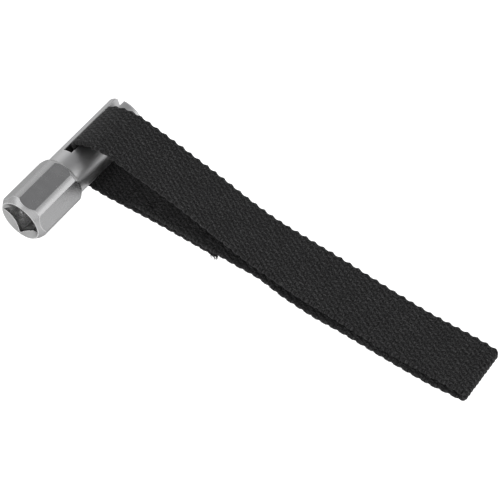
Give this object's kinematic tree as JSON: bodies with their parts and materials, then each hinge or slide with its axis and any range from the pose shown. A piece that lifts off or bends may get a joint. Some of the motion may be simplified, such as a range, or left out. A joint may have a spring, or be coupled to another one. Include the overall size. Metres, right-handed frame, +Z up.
{
  "type": "strap wrench",
  "caption": "Strap wrench: a short steel body with a square drive socket, hex head and slotted shank that carries a sewn loop of flat black webbing.",
  "frame": {"origin": "centre of the square drive's mouth, on the body's axis", "axes": "+Y along the body from the drive mouth to the slotted end, +X the way the strap lies, +Z up from the surface it lies on"},
  "size_m": [0.2017, 0.0704, 0.0295],
  "materials": {
    "steel": "satin chrome plate over machined steel",
    "webbing": "coarse woven black polypropylene webbing",
    "thread": "black bonded nylon thread"
  },
  "bodies": {
    "wrench": {"wrench_body": "steel"},
    "strap_seat": {"strap_slot_pass": "webbing"},
    "strap_collar": {"strap_upper_bend": "webbing", "strap_lower_bend": "webbing"},
    "upper_1": {"strap_upper_1": "webbing"},
    "upper_2": {"strap_upper_2": "webbing"},
    "upper_3": {"strap_upper_3": "webbing"},
    "upper_4": {"strap_upper_4": "webbing"},
    "upper_5": {"strap_upper_5": "webbing"},
    "upper_6": {"strap_upper_6": "webbing"},
    "upper_7": {"strap_upper_7": "webbing"},
    "upper_8": {"strap_upper_8": "webbing"},
    "fold": {"strap_fold": "webbing"},
    "lower_5": {"strap_lower_5": "webbing"},
    "lower_4": {"strap_lower_4": "webbing"},
    "lower_3": {"strap_lower_3": "webbing"},
    "lower_2": {"strap_lower_2": "webbing"},
    "lower_1": {"strap_lower_1": "webbing"},
    "lap_inner": {"strap_lap_inner": "webbing", "lap_stitching_inner": "thread"},
    "lap_outer": {"strap_lap_outer": "webbing", "lap_stitching_outer": "thread"}
  },
  "joints": [
    {"name": "strap_slide", "type": "slide", "parent": "wrench", "child": "strap_seat", "axis": [0, 1, 0], "range_m": [-0.002, 0.036]},
    {"name": "strap_swing", "type": "hinge", "parent": "strap_seat", "child": "strap_collar", "pos_m": [0, 0.0497, 0], "axis": [0, -1, 0], "range_deg": [0, 30]},
    {"name": "loop_open", "type": "hinge", "parent": "strap_collar", "child": "upper_1", "pos_m": [0.01295, 0.0497, 0.01637], "axis": [0, -1, 0], "range_deg": [0, 45]},
    {"name": "upper_joint_2", "type": "hinge", "parent": "upper_1", "child": "upper_2", "pos_m": [0.035, 0.0497, 0.0105], "axis": [0, -1, 0], "range_deg": [-35.9, 0]},
    {"name": "upper_joint_3", "type": "hinge", "parent": "upper_2", "child": "upper_3", "pos_m": [0.058, 0.0497, 0.0046], "axis": [0, -1, 0], "range_deg": [-24.5, 0]},
    {"name": "upper_joint_4", "type": "hinge", "parent": "upper_3", "child": "upper_4", "pos_m": [0.081, 0.0497, -0.0014], "axis": [0, -1, 0], "range_deg": [-13.7, 0]},
    {"name": "upper_joint_5", "type": "hinge", "parent": "upper_4", "child": "upper_5", "pos_m": [0.104, 0.0497, -0.0036], "axis": [0, -1, 0], "range_deg": [-7.8, 0]},
    {"name": "upper_joint_6", "type": "hinge", "parent": "upper_5", "child": "upper_6", "pos_m": [0.127, 0.0497, -0.0055], "axis": [0, -1, 0], "range_deg": [-5.6, 0]},
    {"name": "upper_joint_7", "type": "hinge", "parent": "upper_6", "child": "upper_7", "pos_m": [0.15, 0.0497, -0.0073], "axis": [0, -1, 0], "range_deg": [-5.5, 0]},
    {"name": "upper_joint_8", "type": "hinge", "parent": "upper_7", "child": "upper_8", "pos_m": [0.169, 0.0497, -0.0071], "axis": [0, -1, 0], "range_deg": [-5.9, 0]},
    {"name": "fold_joint_upper", "type": "hinge", "parent": "upper_8", "child": "fold", "pos_m": [0.183, 0.0497, -0.00631], "axis": [0, -1, 0], "range_deg": [0, 40.2]},
    {"name": "fold_joint_lower", "type": "hinge", "parent": "fold", "child": "lower_5", "pos_m": [0.183, 0.0497, -0.01011], "axis": [0, -1, 0], "range_deg": [0, 47.4]},
    {"name": "lower_joint_4", "type": "hinge", "parent": "lower_5", "child": "lower_4", "pos_m": [0.169, 0.0497, -0.01011], "axis": [0, -1, 0], "range_deg": [-12.8, 0]},
    {"name": "lower_joint_3", "type": "hinge", "parent": "lower_4", "child": "lower_3", "pos_m": [0.15, 0.0497, -0.01011], "axis": [0, -1, 0], "range_deg": [-14.7, 0]},
    {"name": "lower_joint_2", "type": "hinge", "parent": "lower_3", "child": "lower_2", "pos_m": [0.127, 0.0497, -0.01011], "axis": [0, -1, 0], "range_deg": [-17.6, 0]},
    {"name": "lower_joint_1", "type": "hinge", "parent": "lower_2", "child": "lower_1", "pos_m": [0.104, 0.0497, -0.01011], "axis": [0, -1, 0], "range_deg": [-19.9, 0]},
    {"name": "lap_joint_inner", "type": "hinge", "parent": "lower_1", "child": "lap_inner", "pos_m": [0.081, 0.0497, -0.00761], "axis": [0, -1, 0], "range_deg": [-21.3, 0]},
    {"name": "lap_joint_outer", "type": "hinge", "parent": "strap_collar", "child": "lap_outer", "pos_m": [0.01, 0.0497, -0.01011], "axis": [0, -1, 0], "range_deg": [-48, 0]}
  ],
  "couplings": [
    {"joint": "upper_joint_2", "follows": "loop_open", "ratio": -0.786},
    {"joint": "upper_joint_3", "follows": "loop_open", "ratio": -0.5323},
    {"joint": "upper_joint_4", "follows": "loop_open", "ratio": -0.2938},
    {"joint": "upper_joint_5", "follows": "loop_open", "ratio": -0.1615},
    {"joint": "upper_joint_6", "follows": "loop_open", "ratio": -0.1123},
    {"joint": "upper_joint_7", "follows": "loop_open", "ratio": -0.111},
    {"joint": "upper_joint_8", "follows": "loop_open", "ratio": -0.1206},
    {"joint": "fold_joint_upper", "follows": "loop_open", "ratio": 0.8826},
    {"joint": "fold_joint_lower", "follows": "loop_open", "ratio": 1.0425},
    {"joint": "lower_joint_4", "follows": "loop_open", "ratio": -0.2723},
    {"joint": "lower_joint_3", "follows": "loop_open", "ratio": -0.3161},
    {"joint": "lower_joint_2", "follows": "loop_open", "ratio": -0.3798},
    {"joint": "lower_joint_1", "follows": "loop_open", "ratio": -0.4321},
    {"joint": "lap_joint_inner", "follows": "loop_open", "ratio": -0.4631},
    {"joint": "lap_joint_outer", "follows": "loop_open", "ratio": -1.0559}
  ]
}
